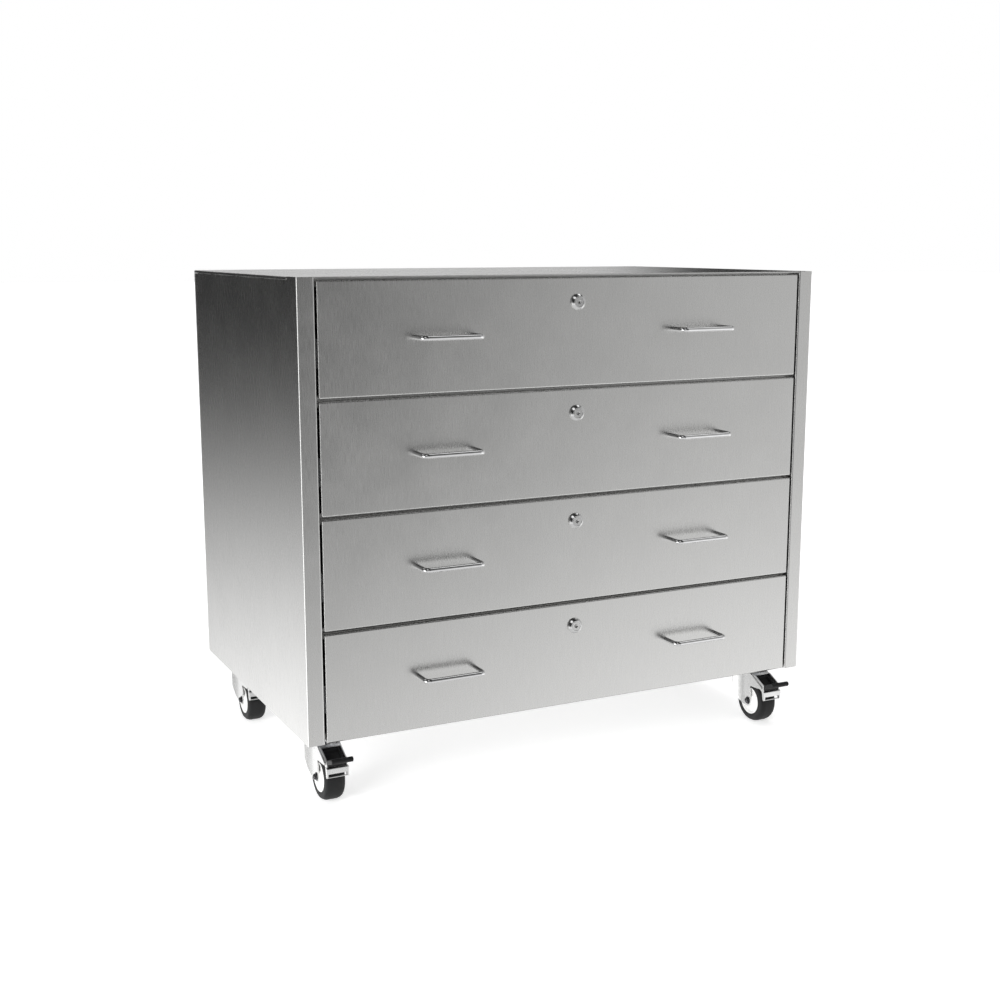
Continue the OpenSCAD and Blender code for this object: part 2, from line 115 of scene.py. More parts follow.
# Wheels and axles, in millimetres: radii from the axle's axis, and half widths
HUB_BORE, HUB_HALF = 3.1, 17.6
BOSS_R, WEB_HALF = 7.6, 13.9
RIM_HALF, HUB_R = 16.7, 26
TYRE_BORE, TYRE_HALF = 26.05, 17
TYRE_R, CROWN_HALF, SHOULDER_R = 40, 6, 33
AXLE_R, AXLE_HALF = 3, 20.5
WASHER_R, WASHER_IN, WASHER_OUT = 7, 20, 20.8
DOME_R, DOME_BASE, DOME_RISE = 5.1, 22.6, 3.6
SHOULDER_STEPS, DOME_STEPS = 10, 9

# Brakes, in millimetres: half widths, then places towards -Y and up
CHEEK_IN, CHEEK_OUT = 15.9, 17.7
BRIDGE_HALF, STIRRUP_HALF, SLOT_HALF = 16.2, 18.5, 17.3
TREAD_HALF, TOE_HALF, POCKET_HALF = 15.8, 18.4, 12
STIRRUP_Y, STIRRUP_TOP, STIRRUP_BOTTOM = -79, 69, 52
STIRRUP_SHEET, STIRRUP_BEND = 1.4, 1.8
SLOT_TOP, SLOT_BOTTOM = 59, 53.8
TOE_BACK, TOE_Y, TOE_Z, TOE_R = -77, -99.6, 87.5, 4.3

# Mesh clean-up, with distances in metres, and shading, with angles in degrees
SAME_POINT = 0.002 * MM
HAIR = 0.01 * MM
TINY = 1e-6
FLAT_ANGLE = 0.5
BEVEL_ANGLE = 40
SHADING_WEIGHT = 60

# Brushed steel: features per metre across the grain and along it, how far its brightness
# varies, and how deep the grain is
FINE_GRAIN = (1300, 45)
LONG_STREAKS = (330, 26)
MOTTLE = 0.035
GRAIN_DEPTH = 0.005 * MM

# Chrome and zinc: features per metre along X, Y and Z, and depths
ORANGE_PEEL = (220, 220, 220)
PEEL_DEPTH = 0.004 * MM
WIPE_MARKS = (900, 180, 450)
ZINC_GRAINS = (420, 420, 420)
ZINC_DEPTH = 0.01 * MM

# The photograph's camera: lens and film width in millimetres, place, and angles in degrees
LENS, FILM_WIDTH = 50, 36
CAMERA_AT = (-1.1379, -2.28, 0.8954)
CAMERA_TILT, CAMERA_TURN = 79.496, -26.477

# Area lights that don't show in reflections: name, place, target, size and watts
SOFTBOXES = (
    ("overhead", (0.3, -0.2, 3.2), (0, 0, 0.4), (2.4, 2.4), 60),
    ("left_front", (-3.0, -1.8, 1.2), (0, 0, 0.3), (1.8, 1.8), 90),
)

# Studio surroundings. The ground's light, and how it dims further down, as the elevations
# where the change starts and ends and its brightness. Then the dark parts' brightness, and
# the soft lights as azimuth, elevation, inner radius, outer radius and brightness.
GROUND = (-5.5, -27, 1.15)
GROUND_DIP = (-27, -42, -0.35)
DARK = 0.04
GLOWS = (
    (-165, -32, 4, 30, 0.8),
    (62, 0, 12, 50, 0.79),
    (164, 9, 15, 19, 0.92),
    (86, 60, 8, 15, 1.6),
    (-38, 44, 8, 16, 1.4),
    (-125, 34, 12, 28, 1.0),
    (-92, -10, 18, 32, 2.4),
    (-14, 0, 10, 27, 0.3),
)


# ---- Mesh building ----

class Shape:
    """Vertices and faces of one piece, gathered from several closed solids."""

    def __init__(self):
        self.verts = []
        self.faces = []

    def add(self, verts, faces):
        start = len(self.verts)
        self.verts += [Vector(v) for v in verts]
        self.faces += [[start + k for k in face] for face in faces]

    def move(self, matrix):
        self.verts = [matrix @ v for v in self.verts]
        return self

    def join(self, other):
        self.add(other.verts, other.faces)
        return self


def smooth_shading(obj, angle):
    """Smooth shading, except across edges that are sharper than the angle."""
    mesh = obj.data
    mesh.shade_smooth()
    mesh.set_sharp_from_angle(angle=math.radians(angle))
    weighted = obj.modifiers.new("Even shading", "WEIGHTED_NORMAL")
    weighted.keep_sharp = True
    weighted.weight = SHADING_WEIGHT


def add_bevel(obj, width, segments=2):
    """Broken edges wherever two faces meet at more than the bevel angle."""
    bevel = obj.modifiers.new("Broken edges", "BEVEL")
    bevel.width = width
    bevel.segments = segments
    bevel.limit_method = "ANGLE"
    bevel.angle_limit = math.radians(BEVEL_ANGLE)
    bevel.harden_normals = False


def piece(name, shape, body, material, stands_for, bevel=0.0, segments=2, sharp=35):
    """Makes a piece from a shape, lets it ride on a body and hides the nodes it stands for."""
    mesh = bpy.data.meshes.new(name)
    mesh.from_pydata([tuple(v) for v in shape.verts], [], shape.faces)
    work = bmesh.new()
    work.from_mesh(mesh)
    bmesh.ops.remove_doubles(work, verts=work.verts, dist=SAME_POINT)
    bmesh.ops.recalc_face_normals(work, faces=work.faces)
    work.to_mesh(mesh)
    work.free()
    obj = bpy.data.objects.new(name, mesh)
    bpy.context.scene.collection.objects.link(obj)
    mesh.materials.append(material)
    if bevel:
        add_bevel(obj, bevel, segments)
    smooth_shading(obj, sharp)
    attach(obj, body)
    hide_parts(*stands_for)
    return obj


def dress(node, material, bevel):
    """Gives a CAD node its material and broken edges.

    The CAD's triangles are first taken together into whole flat faces, so that the bevel
    and the shading follow the real edges.
    """
    obj = frame["nodes"][node]
    obj.data.materials.clear()
    obj.data.materials.append(material)
    weld = obj.modifiers.new("Joined faces", "WELD")
    weld.merge_threshold = HAIR
    flat = obj.modifiers.new("Whole flat faces", "DECIMATE")
    flat.decimate_type = "DISSOLVE"
    flat.angle_limit = math.radians(FLAT_ANGLE)
    add_bevel(obj, bevel)
    obj.modifiers.new("Even shading", "WEIGHTED_NORMAL")


def bent_strip(path, thickness, radius, steps=5):
    """Pairs of outer and inner points along a folded strip in a plane.

    path is the strip's outer line, and the sheet lies to the left of it. Each corner
    becomes a bend whose outside has the given radius.
    """
    pts = [Vector(p) for p in path]
    dirs = [(b - a).normalized() for a, b in zip(pts, pts[1:])]
    normals = [Vector((-d.y, d.x)) for d in dirs]
    pairs = [(pts[0], pts[0] + normals[0] * thickness)]
    for k in range(1, len(pts) - 1):
        n0, n1 = normals[k - 1], normals[k]
        turn = dirs[k - 1].x * dirs[k].y - dirs[k - 1].y * dirs[k].x
        if abs(turn) < TINY:
            pairs.append((pts[k], pts[k] + n0 * thickness))
            continue
        side = 1 if turn > 0 else -1
        r = radius if turn > 0 else radius - thickness
        centre = pts[k] + (n0 + n1) / (1 + n0.dot(n1)) * side * r
        angle = math.atan2(turn, n0.dot(n1))
        for step in range(steps + 1):
            c, s = math.cos(angle * step / steps), math.sin(angle * step / steps)
            n = Vector((n0.x * c - n0.y * s, n0.x * s + n0.y * c))
            pairs.append((centre - n * side * r, centre - n * side * (r - side * thickness)))
    pairs.append((pts[-1], pts[-1] + normals[-1] * thickness))
    return pairs


def sheet_grid(columns, rows, surface, present):
    """A sheet made of cells. surface(i, j) gives a cell corner's outer and inner point.

    present(i, j) says whether the cell from corner (i, j) to (i + 1, j + 1) is there, and
    the sheet's edges are closed all round the cells that are.
    """
    shape = Shape()
    index = {}

    def corner(i, j):
        if (i, j) not in index:
            index[i, j] = len(shape.verts)
            shape.verts += [Vector(p) for p in surface(i, j)]
        return index[i, j]

    def there(i, j):
        return 0 <= i < columns - 1 and 0 <= j < rows - 1 and present(i, j)

    for i in range(columns - 1):
        for j in range(rows - 1):
            if not there(i, j):
                continue
            a, b = corner(i, j), corner(i + 1, j)
            c, d = corner(i + 1, j + 1), corner(i, j + 1)
            shape.faces.append([a, b, c, d])
            shape.faces.append([d + 1, c + 1, b + 1, a + 1])
            if not there(i - 1, j):
                shape.faces.append([d, a, a + 1, d + 1][::-1])
            if not there(i + 1, j):
                shape.faces.append([b, c, c + 1, b + 1][::-1])
            if not there(i, j - 1):
                shape.faces.append([a, b, b + 1, a + 1][::-1])
            if not there(i, j + 1):
                shape.faces.append([c, d, d + 1, c + 1][::-1])
    return shape


def block(lo, hi):
    """A box between two corners."""
    shape = Shape()
    verts = [(x, y, z) for z in (lo[2], hi[2]) for y in (lo[1], hi[1]) for x in (lo[0], hi[0])]
    ends = [(0, 2, 3, 1), (4, 5, 7, 6)]
    walls = [(0, 1, 5, 4), (1, 3, 7, 5), (3, 2, 6, 7), (2, 0, 4, 6)]
    shape.add(verts, ends + walls)
    return shape


def prism(outline, low, high, place):
    """An outline drawn in a plane and pushed along the third axis; place makes 3-D points."""
    count = len(outline)
    shape = Shape()
    verts = [place(p, low) for p in outline] + [place(p, high) for p in outline]
    walls = [(k, (k + 1) % count, count + (k + 1) % count, count + k) for k in range(count)]
    shape.add(verts, [list(range(count))[::-1], list(range(count, 2 * count)), *walls])
    return shape


def lathe(profile, centre, axis, segments):
    """A turned solid about a line along X or Y through the centre.

    profile holds (radius, distance along the axis) pairs from end to end. A profile that
    ends where it starts makes a ring.
    """
    closed = profile[0] == profile[-1]
    shape = Shape()
    verts, rings, faces = [], [], []
    for radius, along in profile:
        count = 1 if radius < TINY else segments
        rings.append(list(range(len(verts), len(verts) + count)))
        for k in range(count):
            a = 2 * math.pi * k / segments
            u, v = radius * math.cos(a), radius * math.sin(a)
            local = (along, u, v) if axis == "X" else (v, along, u)
            verts.append(Vector(centre) + Vector(local))
    for one, two in zip(rings, rings[1:]):
        for k in range(segments):
            n = k + 1
            quad = [one[k % len(one)], one[n % len(one)], two[n % len(two)], two[k % len(two)]]
            face = list(dict.fromkeys(quad))
            if len(face) > 2:
                faces.append(face)
    for ring, flip in ((rings[0], True), (rings[-1], False)):
        if len(ring) > 1 and not closed:
            faces.append(ring[::-1] if flip else ring)
    shape.add(verts, faces)
    return shape


def tube(path, radius, segments=24):
    """A round rod along a level path."""
    shape = Shape()
    up = Vector((0, 0, 1))
    pts = [Vector(p) for p in path]
    verts, faces = [], []
    for k, p in enumerate(pts):
        along = (pts[min(k + 1, len(pts) - 1)] - pts[max(k - 1, 0)]).normalized()
        across = along.cross(up)
        for s in range(segments):
            a = 2 * math.pi * s / segments
            verts.append(p + radius * (across * math.cos(a) + up * math.sin(a)))
    for k in range(len(pts) - 1):
        near, far = k * segments, (k + 1) * segments
        for s in range(segments):
            t = (s + 1) % segments
            faces.append([near + s, near + t, far + t, far + s])
    faces.append(list(range(segments))[::-1])
    faces.append([(len(pts) - 1) * segments + s for s in range(segments)])
    shape.add(verts, faces)
    return shape


def arc(cx, cy, radius, start, end, steps):
    """Points on an arc, with its angles in degrees."""
    angles = [math.radians(start + (end - start) * k / steps) for k in range(steps + 1)]
    return [(cx + radius * math.cos(a), cy + radius * math.sin(a)) for a in angles]


def quarter_turn(steps):
    """Sines and cosines at even steps through a right angle."""
    angles = [math.pi / 2 * k / steps for k in range(steps + 1)]
    return [(math.sin(a), math.cos(a)) for a in angles]


def mirror_x(shape):
    """The mirror image of a shape about X = 0."""
    other = Shape()
    points = [Vector((-v.x, v.y, v.z)) for v in shape.verts]
    other.add(points, [face[::-1] for face in shape.faces])
    return other


def both_sides(shape):
    """The shape and its mirror image about X = 0."""
    return Shape().join(shape).join(mirror_x(shape))


def cut(obj, shape):
    """Cuts a closed shape out of a piece, once and for all."""
    mesh = bpy.data.meshes.new("cutter")
    mesh.from_pydata([tuple(v) for v in shape.verts], [], shape.faces)
    cutter = bpy.data.objects.new("cutter", mesh)
    bpy.context.scene.collection.objects.link(cutter)
    others = [modifier.name for modifier in obj.modifiers]
    boolean = obj.modifiers.new("Cut", "BOOLEAN")
    boolean.operation = "DIFFERENCE"
    boolean.solver = "EXACT"
    boolean.object = cutter
    for name in others:
        obj.modifiers[name].show_viewport = False
    bpy.context.view_layer.update()
    evaluated = obj.evaluated_get(bpy.context.evaluated_depsgraph_get())
    result = bpy.data.meshes.new_from_object(evaluated)
    for name in others:
        obj.modifiers[name].show_viewport = True
    obj.modifiers.remove(boolean)
    obj.data = result
    bpy.data.objects.remove(cutter)


# ---- Materials ----

def new_material(name):
    """A material with its node tree and its shader."""
    material = bpy.data.materials.new(name)
    material.use_nodes = True
    tree = material.node_tree
    return material, tree, tree.nodes["Principled BSDF"]


def stretched_noise(tree, scale, detail=3.0, roughness=0.5):
    """Noise in object space, in features per metre along X, Y and Z."""
    place = tree.nodes.new("ShaderNodeTexCoord")
    mapping = tree.nodes.new("ShaderNodeMapping")
    mapping.inputs["Scale"].default_value = scale
    tree.links.new(place.outputs["Object"], mapping.inputs["Vector"])
    noise = tree.nodes.new("ShaderNodeTexNoise")
    noise.inputs["Scale"].default_value = 1.0
    noise.inputs["Detail"].default_value = detail
    noise.inputs["Roughness"].default_value = roughness
    tree.links.new(mapping.outputs["Vector"], noise.inputs["Vector"])
    return noise.outputs["Fac"]


def in_range(tree, value, low, high, start=0.3, end=0.7):
    """Spreads a value over a range. Noise lies mostly between the usual start and end."""
    node = tree.nodes.new("ShaderNodeMapRange")
    node.inputs["From Min"].default_value = start
    node.inputs["From Max"].default_value = end
    node.inputs["To Min"].default_value = low
    node.inputs["To Max"].default_value = high
    tree.links.new(value, node.inputs["Value"])
    return node.outputs["Result"]


def maths(tree, operation, a, b):
    """Joins two values, each a number or a socket."""
    node = tree.nodes.new("ShaderNodeMath")
    node.operation = operation
    for socket, value in zip(node.inputs, (a, b)):
        if isinstance(value, (int, float)):
            socket.default_value = value
        else:
            tree.links.new(value, socket)
    return node.outputs["Value"]


def tinted(tree, color, brightness):
    """A colour multiplied by a brightness that varies over the surface."""
    node = tree.nodes.new("ShaderNodeVectorMath")
    node.operation = "SCALE"
    node.inputs[0].default_value = color
    tree.links.new(brightness, node.inputs["Scale"])
    return node.outputs["Vector"]


def bump(tree, shader, height, distance):
    """Gives the shader a relief that is this deep between the lowest and highest value."""
    node = tree.nodes.new("ShaderNodeBump")
    node.inputs["Distance"].default_value = distance
    node.inputs["Strength"].default_value = 1.0
    tree.links.new(height, node.inputs["Height"])
    tree.links.new(node.outputs["Normal"], shader.inputs["Normal"])


def around(tree, value, middle, spread):
    """Spreads a noise value evenly about a middle."""
    return in_range(tree, value, middle - spread, middle + spread)


def along_grain(axis, densities):
    """A metal's grain as feature densities along X, Y and Z."""
    across, along = densities
    return tuple(along if name == axis else across for name in "XYZ")


def brushed_steel(name, color, grain, rough=0.26):
    """Brushed stainless sheet: fine grain along one axis, longer streaks and a soft mottle."""
    material, tree, shader = new_material(name)
    fine = stretched_noise(tree, along_grain(grain, FINE_GRAIN), 3)
    streaks = stretched_noise(tree, along_grain(grain, LONG_STREAKS), 2)
    cloud = stretched_noise(tree, (11, 11, 11), 3, 0.55)
    streak_light = around(tree, streaks, 1, 0.4 * MOTTLE)
    cloud_light = around(tree, cloud, 1, 0.5 * MOTTLE)
    light = maths(tree, "MULTIPLY", streak_light, cloud_light)
    light = maths(tree, "MULTIPLY", light, around(tree, fine, 1, 0.5 * MOTTLE))
    tree.links.new(tinted(tree, color, light), shader.inputs["Base Color"])
    rough_all = maths(tree, "ADD", around(tree, fine, rough, 0.04), around(tree, cloud, 0, 0.02))
    tree.links.new(rough_all, shader.inputs["Roughness"])
    bump(tree, shader, fine, GRAIN_DEPTH)
    shader.inputs["Metallic"].default_value = 1.0
    return material


def polished_metal(name, color, rough):
    """Chrome or plating: a clear shine with faint orange peel and fine wipe marks."""
    material, tree, shader = new_material(name)
    wipes = stretched_noise(tree, WIPE_MARKS, 4)
    peel = stretched_noise(tree, ORANGE_PEEL, 2)
    tree.links.new(tinted(tree, color, around(tree, peel, 1, 0.03)), shader.inputs["Base Color"])
    tree.links.new(in_range(tree, wipes, rough * 0.7, rough * 1.5), shader.inputs["Roughness"])
    bump(tree, shader, peel, PEEL_DEPTH)
    shader.inputs["Metallic"].default_value = 1.0
    return material


def plated_steel(name, color, rough):
    """Zinc plate: soft crystalline variation in tone and shine."""
    material, tree, shader = new_material(name)
    grains = stretched_noise(tree, ZINC_GRAINS, 3, 0.6)
    cloud = stretched_noise(tree, (60, 60, 60), 2)
    light = maths(tree, "MULTIPLY", around(tree, grains, 1, 0.05), around(tree, cloud, 1, 0.04))
    tree.links.new(tinted(tree, color, light), shader.inputs["Base Color"])
    rough_all = in_range(tree, grains, rough - 0.06, rough + 0.08)
    tree.links.new(rough_all, shader.inputs["Roughness"])
    bump(tree, shader, grains, ZINC_DEPTH)
    shader.inputs["Metallic"].default_value = 1.0
    return material


def moulded(name, color, rough, grain_density, depth, variation, shine=0.5):
    """Moulded plastic or rubber with a fine surface grain."""
    material, tree, shader = new_material(name)
    grain = stretched_noise(tree, (grain_density,) * 3, 3, 0.6)
    cloud = stretched_noise(tree, (45, 45, 45), 2)
    cloud_light = around(tree, cloud, 1, variation)
    light = maths(tree, "MULTIPLY", cloud_light, around(tree, grain, 1, variation))
    tree.links.new(tinted(tree, color, light), shader.inputs["Base Color"])
    tree.links.new(around(tree, grain, rough, 0.07), shader.inputs["Roughness"])
    bump(tree, shader, grain, depth)
    shader.inputs["Specular IOR Level"].default_value = shine
    return material


STEEL = (0.74, 0.738, 0.728)
MATERIALS = {
    "cabinet": brushed_steel("cabinet_steel_brushed", STEEL, "Z"),
    "top": brushed_steel("top_steel_brushed", STEEL, "X"),
    "front": brushed_steel("front_steel_brushed", STEEL, "Z"),
    "inner": brushed_steel("inner_steel_satin", (0.62, 0.62, 0.615), "X", rough=0.38),
    "box": brushed_steel("box_steel_satin", (0.66, 0.66, 0.655), "Y", rough=0.36),
    "slide": plated_steel("slide_zinc", (0.6, 0.615, 0.64), 0.28),
    "pull": polished_metal("pull_chrome_polished", (0.86, 0.86, 0.865), 0.07),
    "bezel": polished_metal("lock_chrome_satin", (0.8, 0.8, 0.8), 0.13),
    "plug": plated_steel("lock_plug_steel", (0.7, 0.7, 0.695), 0.24),
    "fastener": plated_steel("fastener_zinc", (0.6, 0.61, 0.63), 0.26),
    "plate": plated_steel("caster_plate_zinc", (0.68, 0.69, 0.71), 0.26),
    "fork": plated_steel("caster_fork_zinc", (0.8, 0.8, 0.795), 0.24),
    "bracket": plated_steel("brake_bracket_plated", (0.9, 0.9, 0.895), 0.3),
    "axle": polished_metal("axle_dark_polished", (0.11, 0.11, 0.115), 0.14),
    "hub": moulded("hub_nylon_white", (0.9, 0.9, 0.89), 0.36, 900, 0.01 * MM, 0.02),
    "tyre": moulded("tyre_rubber_dark", (0.013, 0.013, 0.0135), 0.56, 1400, 0.02 * MM, 0.1, 0.32),
    "tread": moulded("brake_tread_black", (0.009, 0.009, 0.0095), 0.42, 1100, 0.015 * MM, 0.1, 0.32),
}


# ---- Cabinet ----

def side_panel(name, mirrored):
    """Skin with its folded front post. Behind the post it stops under the top's lip."""
    notch_y = FRONT_Y + LIP_START - SEAM
    back = BACK_Y - LIP - SEAM
    path = [(-HALF_W, back), (-HALF_W, notch_y), (-HALF_W, FRONT_Y), (-POST_EDGE, FRONT_Y),
            (-POST_EDGE, FRONT_Y + POST_RETURN)]
    pairs = bent_strip(path, SHEET, BEND)
    levels = [BODY_Z, TOP_Z - LIP - SEAM, TOP_Z - TOP_SHEET, TOP_Z]

    def surface(i, j):
        return [(p.x, p.y, levels[j]) for p in pairs[i]]

    def present(i, j):
        middle = (pairs[i][0] + pairs[i + 1][0]) / 2
        if middle.y > notch_y:
            return j == 0
        if middle.x > -POST_EDGE - SHEET and middle.y > FRONT_Y + BEND:
            return j < 2
        return True

    shape = sheet_grid(len(pairs), len(levels), surface, present)
    flange_start = (-HALF_W + SHEET, FRONT_Y + SHEET, BODY_Z)
    shape.join(block(flange_start, (-HALF_W + FLANGE, back, BODY_Z + SHEET)))
    if mirrored:
        shape = mirror_x(shape)
    piece(name + "_sheet", shape, "cabinet", MATERIALS["cabinet"], (name,),
          SHEET_BEVEL)


def top_panel():
    """Top sheet: a tongue between the posts, folded lips at the sides and the back."""
    path = [(HALF_W, TOP_Z - LIP), (HALF_W, TOP_Z), (POST_EDGE - SEAM / 2, TOP_Z),
            (-POST_EDGE + SEAM / 2, TOP_Z), (-HALF_W, TOP_Z), (-HALF_W, TOP_Z - LIP)]
    pairs = bent_strip(path, TOP_SHEET, BEND)
    flat_x = HALF_W - BEND + HAIR
    straight = [FRONT_Y, FRONT_Y + SHEET, FRONT_Y + LIP_START, BACK_Y - BEND]
    bend = quarter_turn(BEND_STEPS)[1:]
    rows = len(straight) + len(bend) + 1

    def surface(i, j):
        outer, inner = pairs[i]
        if j < len(straight):
            return [(outer.x, straight[j], outer.y), (inner.x, straight[j], inner.y)]
        if j == rows - 1:
            return [(outer.x, BACK_Y, TOP_Z - LIP), (inner.x, BACK_Y - TOP_SHEET, TOP_Z - LIP)]
        sine, cosine = bend[j - len(straight)]
        return [(outer.x, BACK_Y - BEND + r * sine, TOP_Z - BEND + r * cosine)
                for r in (BEND, BEND - TOP_SHEET)]

    def present(i, j):
        x = abs(pairs[i][0].x + pairs[i + 1][0].x) / 2
        if j == 0:
            return x < POST_EDGE - SEAM / 2
        if j == 1 or j >= len(straight) - 1:
            return x < flat_x
        return True

    shape = sheet_grid(len(pairs), rows, surface, present)
    piece("top_panel_sheet", shape, "cabinet", MATERIALS["top"],
          ("top_panel",), SHEET_BEVEL)


def back_panel():
    """Back sheet, folded forwards at both sides."""
    path = [(HALF_W, BACK_Y - LIP), (HALF_W, BACK_Y), (-HALF_W, BACK_Y), (-HALF_W, BACK_Y - LIP)]
    pairs = bent_strip(path, SHEET, BEND)
    levels = [BODY_Z, TOP_Z - LIP - SEAM]

    def surface(i, j):
        return [(p.x, p.y, levels[j]) for p in pairs[i]]

    shape = sheet_grid(len(pairs), len(levels), surface, lambda i, j: True)
    piece("back_panel_sheet", shape, "cabinet", MATERIALS["cabinet"],
          ("back_panel",), SHEET_BEVEL)


def cabinet():
    """The four outer sheets drawn again, and the CAD's inner sheets and fittings."""
    side_panel("side_panel_left", False)
    side_panel("side_panel_right", True)
    top_panel()
    back_panel()
    for node in ("base_panel", "cross_rails", "slide_uprights", "base_bars"):
        dress(node, MATERIALS["inner"], 0.3 * MM)
    dress("slide_cabinet_members", MATERIALS["slide"], 0.2 * MM)
    dress("caster_top_plates", MATERIALS["plate"], 0.3 * MM)
    dress("caster_kingpins", MATERIALS["fastener"], 0.4 * MM)
    dress("caster_bolts", MATERIALS["fastener"], 0.3 * MM)


# ---- Drawers ----

def ring(low, high, inset, y, corner):
    """A rectangle with rounded corners in the XZ plane, at depth y."""
    r = max(corner, HAIR)
    left, bottom = low[0] + inset + r, low[1] + inset + r
    right, top = high[0] - inset - r, high[1] - inset - r
    corners = ((right, top, 0), (left, top, 90), (left, bottom, 180), (right, bottom, 270))
    points = [p for x, z, start in corners for p in arc(x, z, r, start, start + 90, 4)]
    return [(x, y, z) for x, z in points]


def drawer_front(i):
    """Flat front whose four edges fold back and then inwards, with welded corners."""
    lo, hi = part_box(f"drawer_front_{i}")
    low, high = (lo.x, lo.z), (hi.x, hi.z)
    rings = []

    def bend(depth_at, radius, steps, outwards):
        """Rings round one bend: from a flat face out to the edges, or back in from them."""
        for sine, cosine in quarter_turn(steps):
            across, along = (sine, cosine) if outwards else (cosine, sine)
            inset = BEND - radius + radius * (1 - across)
            y = depth_at(radius * (1 - along))
            rings.append(ring(low, high, inset, y, radius * across))

    bend(lambda d: lo.y + d, BEND, BEND_STEPS, True)
    bend(lambda d: hi.y - d, BEND, BEND_STEPS, False)
    rings.append(ring(low, high, FRONT_LIP, hi.y, 0))
    rings.append(ring(low, high, FRONT_LIP, hi.y - SHEET, 0))
    bend(lambda d: hi.y - SHEET - d, BEND - SHEET, INNER_BEND_STEPS, True)
    bend(lambda d: lo.y + SHEET + d, BEND - SHEET, INNER_BEND_STEPS, False)
    shape = Shape()
    count = len(rings[0])
    faces = [list(range(count)), list(range((len(rings) - 1) * count, len(rings) * count))]
    for r in range(len(rings) - 1):
        near, far = r * count, (r + 1) * count
        for k in range(count):
            n = (k + 1) % count
            faces.append([near + k, near + n, far + n, far + k])
    shape.add([p for r in rings for p in r], faces)
    piece(f"drawer_front_{i}_sheet", shape, f"drawer_{i}", MATERIALS["front"],
          (f"drawer_front_{i}",))


def turned_y(profile, centre, segments):
    """A turned solid along Y, with its profile in millimetres."""
    return lathe([(r * MM, y * MM) for r, y in profile], centre, "Y", segments)


def pull_shape(x, y, z):
    """One U-shaped rod with round bends, and its two screw heads behind the sheet."""
    half = PULL_SPAN / 2
    straight = PULL_OUT - PULL_BEND
    bend_left = arc(x - half + PULL_BEND, y - straight, PULL_BEND, 180, 270, 10)
    bend_right = arc(x + half - PULL_BEND, y - straight, PULL_BEND, 270, 360, 10)
    left_leg = [(x - half, y), (x - half, y - PULL_NECK)]
    right_leg = [(x + half, y - PULL_NECK), (x + half, y)]
    route = left_leg + bend_left + bend_right + right_leg
    shape = tube([(px, py, z) for px, py in route], PULL_ROD / 2)
    head = [(0, 1.5), (4.5, 1.5), (4.5, 3.2), (3.9, 3.9), (0, 3.9)]
    for leg_x in (x - half, x + half):
        shape.join(turned_y(head, (leg_x, y, z), 24))
    return shape


def pulls(i):
    """Both pulls of a drawer, on the middle line of their CAD node."""
    node = f"pulls_{i}"
    low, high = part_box(node)
    z = (low.z + high.z) / 2
    middle = high.x - PULL_ROD / 2 - PULL_SPAN / 2
    shape = Shape()
    for x in (-middle, middle):
        shape.join(pull_shape(x, FRONT_Y, z))
    piece(f"{node}_rods", shape, f"drawer_{i}", MATERIALS["pull"], (node,), sharp=50)


def bezel_profile():
    """Barrel with its bore, and a bezel with a chamfer that is rounded at its rim."""
    chamfer = [(BEZEL_R, -2.5), (BEZEL_R - 0.08, -2.8), (BEZEL_R - 0.25, -3), (11.8, -3.95),
               (10.7, -5.0), (9.7, -5.8), (9.3, -BEZEL_OUT)]
    mouth = [(MOUTH_R + LOCK_BREAK, -BEZEL_OUT), (MOUTH_R, LOCK_BREAK - BEZEL_OUT),
             (MOUTH_R, BORE_SEAT), (BORE_R, BORE_SEAT)]
    barrel = [(BORE_R, BARREL_END), (BARREL_R, BARREL_END), (BARREL_R, 0), (BEZEL_R, 0)]
    return barrel + chamfer + mouth + barrel[:1]


def plug_profile():
    """Plug with a dish round its key hole, a seat in the barrel and a stud for the cam."""
    dish = [(0, -4.3), (1.6, -4.5), (2.7, -5.2), (3.3, -5.9), (3.5, -BEZEL_OUT)]
    rim = [(7.6, -BEZEL_OUT), (PLUG_HEAD_R, LOCK_BREAK - BEZEL_OUT), (PLUG_HEAD_R, PLUG_SEAT)]
    body = [(PLUG_R, PLUG_SEAT), (PLUG_R, STUD_START)]
    stud = [(STUD_R, STUD_START), (STUD_R, STUD_END), (0, STUD_END)]
    return dish + rim + body + stud


def cam(at):
    """The tongue behind the plug, which points to the side while the lock is open."""
    hub = arc(0, 0, CAM_HUB_R * MM, 75, 285, 12)
    tip = arc(CAM_REACH * MM, 0, CAM_TIP_R * MM, -90, 90, 12)

    def place(point, depth):
        return (at.x + point[0], at.y + depth, at.z + point[1])

    return prism(hub + tip, CAM_START * MM, CAM_END * MM, place)


def lock(i):
    """Bezel on its barrel with a six-sided nut, and a plug with its key hole, cam and screw."""
    at = Vector(JOINTS[f"lock_{i}_turn"]["pos_m"])
    nut = [(10, 1.5), (14, 1.5), (14, 5.5), (10, 5.5), (10, 1.5)]
    housing = turned_y(bezel_profile(), at, 96).join(turned_y(nut, at, 6))
    piece(f"lock_{i}_bezel", housing, f"drawer_{i}", MATERIALS["bezel"],
          (f"lock_housing_{i}",), sharp=25)
    screw = [(0, 20.7), (5.5, 20.7), (5.5, 22.4), (4.6, 23.2), (0, 23.2)]
    plug = turned_y(plug_profile(), at, 64).join(cam(at)).join(turned_y(screw, at, 24))
    obj = piece(f"lock_{i}_plug", plug, f"lock_{i}", MATERIALS["plug"],
                (f"lock_plug_{i}",), sharp=25)
    low = at + Vector((-KEY_HALF_WIDTH, -BEZEL_OUT, -KEY_HALF_HEIGHT)) * MM
    high = at + Vector((KEY_HALF_WIDTH, KEY_DEPTH, KEY_HALF_HEIGHT)) * MM
    cut(obj, block(low, high))


